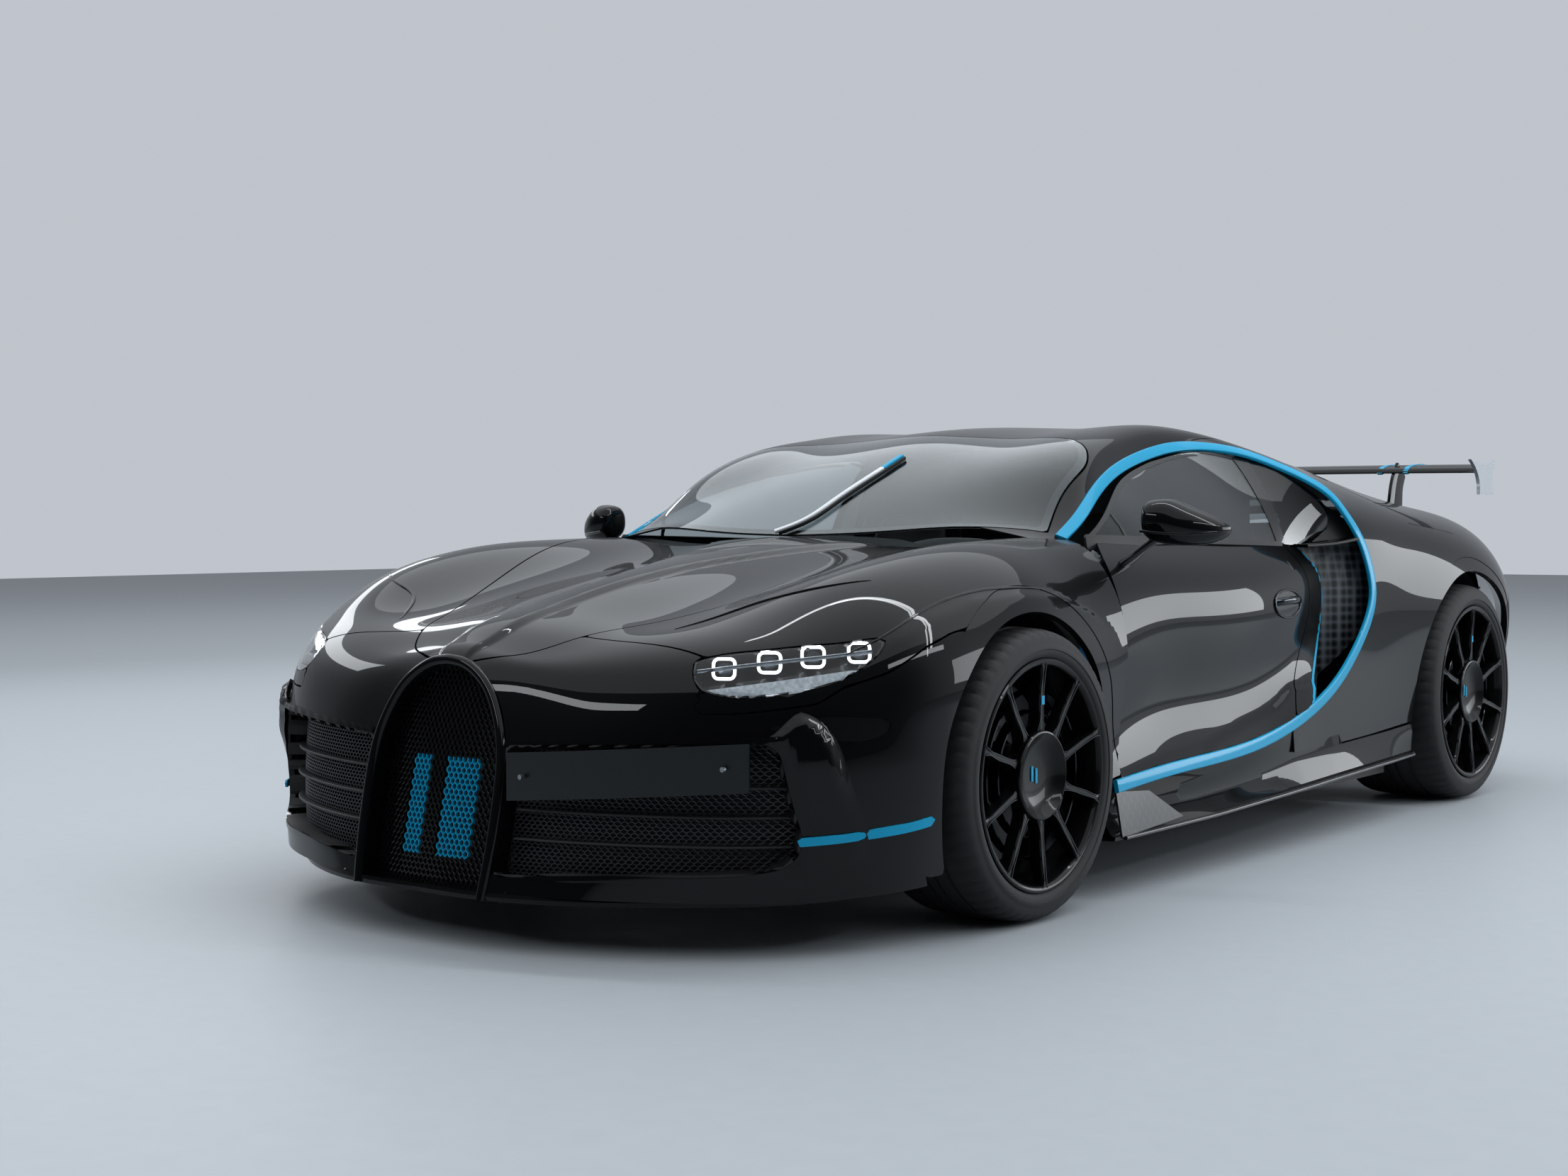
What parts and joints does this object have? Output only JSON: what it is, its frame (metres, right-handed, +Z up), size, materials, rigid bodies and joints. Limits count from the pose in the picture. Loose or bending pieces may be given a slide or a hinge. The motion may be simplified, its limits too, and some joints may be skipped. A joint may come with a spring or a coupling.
{
  "type": "two-seat hypercar",
  "caption": "Low two-seat mid-engined coupe with horseshoe grille, C-shaped side line, doors, bonnet, steering, road wheels and a fixed rear wing.",
  "frame": {"origin": "on the ground under the centre of the overall box", "axes": "+Z up, nose towards -Y, the car's left side towards +X"},
  "size_m": [2.196, 4.5459, 1.212],
  "materials": {
    "paint_black": "gloss",
    "accent_blue": "gloss",
    "carbon_trim": "satin",
    "black_trim": "gloss",
    "bright_trim": "polished",
    "glazing": "clear",
    "lamp": "clear",
    "lamp_red": "gloss",
    "frame_metal": "satin",
    "cast_metal": "cast",
    "pipe": "brushed",
    "wheel_black": "gloss",
    "tyre": "matte",
    "seat_leather": "satin",
    "cabin_trim": "satin"
  },
  "bodies": {
    "car": {"windscreen": "glazing", "roof": "paint_black", "side_lines": "accent_blue", "quarter_left": "paint_black", "quarter_right": "paint_black", "rear_deck": "paint_black", "intake_cheeks": "paint_black", "side_intakes": "black_trim", "quarter_glass": "glazing", "grille_surround": "bright_trim", "grille_mesh": "black_trim", "bumper": "paint_black", "fender_left": "paint_black", "fender_right": "paint_black", "headlamps": "lamp", "intake_meshes": "black_trim", "splitter": "carbon_trim", "underfloor": "carbon_trim", "side_skirts": "carbon_trim", "monocoque": "carbon_trim", "front_structure": "frame_metal", "rear_structure": "frame_metal", "engine": "cast_metal", "seat_left": "seat_leather", "seat_right": "seat_leather", "dashboard": "cabin_trim", "rear_fascia": "black_trim", "rear_grille": "black_trim", "tail_light": "lamp_red", "exhaust": "pipe", "diffuser": "carbon_trim", "rear_wing": "paint_black", "rear_hubs": "cast_metal", "suspension_front": "frame_metal", "suspension_rear": "frame_metal", "front_lips": "paint_black", "rear_lips": "paint_black", "cowl": "black_trim", "number_plate": "black_trim", "intake_slats": "black_trim", "lamp_bowls": "black_trim", "lamp_lights": "lamp"},
    "door_left_body": {"door_left": "paint_black", "door_glass_left": "glazing", "mirror_left": "paint_black"},
    "door_right_body": {"door_right": "paint_black", "door_glass_right": "glazing", "mirror_right": "paint_black"},
    "bonnet_body": {"bonnet": "paint_black"},
    "steering_body": {"steering_wheel": "cabin_trim"},
    "knuckle_left_body": {"knuckle_left": "cast_metal"},
    "knuckle_right_body": {"knuckle_right": "cast_metal"},
    "wheel_front_left_body": {"wheel_front_left": "wheel_black", "tyre_front_left": "tyre"},
    "wheel_front_right_body": {"wheel_front_right": "wheel_black", "tyre_front_right": "tyre"},
    "wheel_rear_left_body": {"wheel_rear_left": "wheel_black", "tyre_rear_left": "tyre"},
    "wheel_rear_right_body": {"wheel_rear_right": "wheel_black", "tyre_rear_right": "tyre"}
  },
  "joints": [
    {"name": "steer_left", "type": "hinge", "parent": "car", "child": "knuckle_left_body", "pos_m": [0.85, -1.281, 0.3395], "axis": [0, 0, 1], "range_deg": [-28, 28]},
    {"name": "steer_right", "type": "hinge", "parent": "car", "child": "knuckle_right_body", "pos_m": [-0.85, -1.281, 0.3395], "axis": [0, 0, 1], "range_deg": [-28, 28]},
    {"name": "door_left_hinge", "type": "hinge", "parent": "car", "child": "door_left_body", "pos_m": [0.972, -0.845, 0.55], "axis": [0, 0, -1], "range_deg": [0, 58]},
    {"name": "door_right_hinge", "type": "hinge", "parent": "car", "child": "door_right_body", "pos_m": [-0.972, -0.845, 0.55], "axis": [0, 0, 1], "range_deg": [0, 58]},
    {"name": "bonnet_hinge", "type": "hinge", "parent": "car", "child": "bonnet_body", "pos_m": [0, -0.876, 0.88], "axis": [-1, 0, 0], "range_deg": [0, 42]},
    {"name": "steering_wheel_turn", "type": "hinge", "parent": "car", "child": "steering_body", "pos_m": [0.345, -0.436, 0.7], "axis": [0, 0.9135, 0.4067], "range_deg": [-448, 448]},
    {"name": "spin_front_left", "type": "hinge", "parent": "knuckle_left_body", "child": "wheel_front_left_body", "pos_m": [0.8745, -1.281, 0.3395], "axis": [1, 0, 0], "continuous": true},
    {"name": "spin_front_right", "type": "hinge", "parent": "knuckle_right_body", "child": "wheel_front_right_body", "pos_m": [-0.8745, -1.281, 0.3395], "axis": [1, 0, 0], "continuous": true},
    {"name": "spin_rear_left", "type": "hinge", "parent": "car", "child": "wheel_rear_left_body", "pos_m": [0.833, 1.43, 0.3555], "axis": [1, 0, 0], "continuous": true},
    {"name": "spin_rear_right", "type": "hinge", "parent": "car", "child": "wheel_rear_right_body", "pos_m": [-0.833, 1.43, 0.3555], "axis": [1, 0, 0], "continuous": true}
  ],
  "couplings": [
    {"joint": "steer_right", "follows": "steer_left", "ratio": 1},
    {"joint": "steering_wheel_turn", "follows": "steer_left", "ratio": 16}
  ]
}
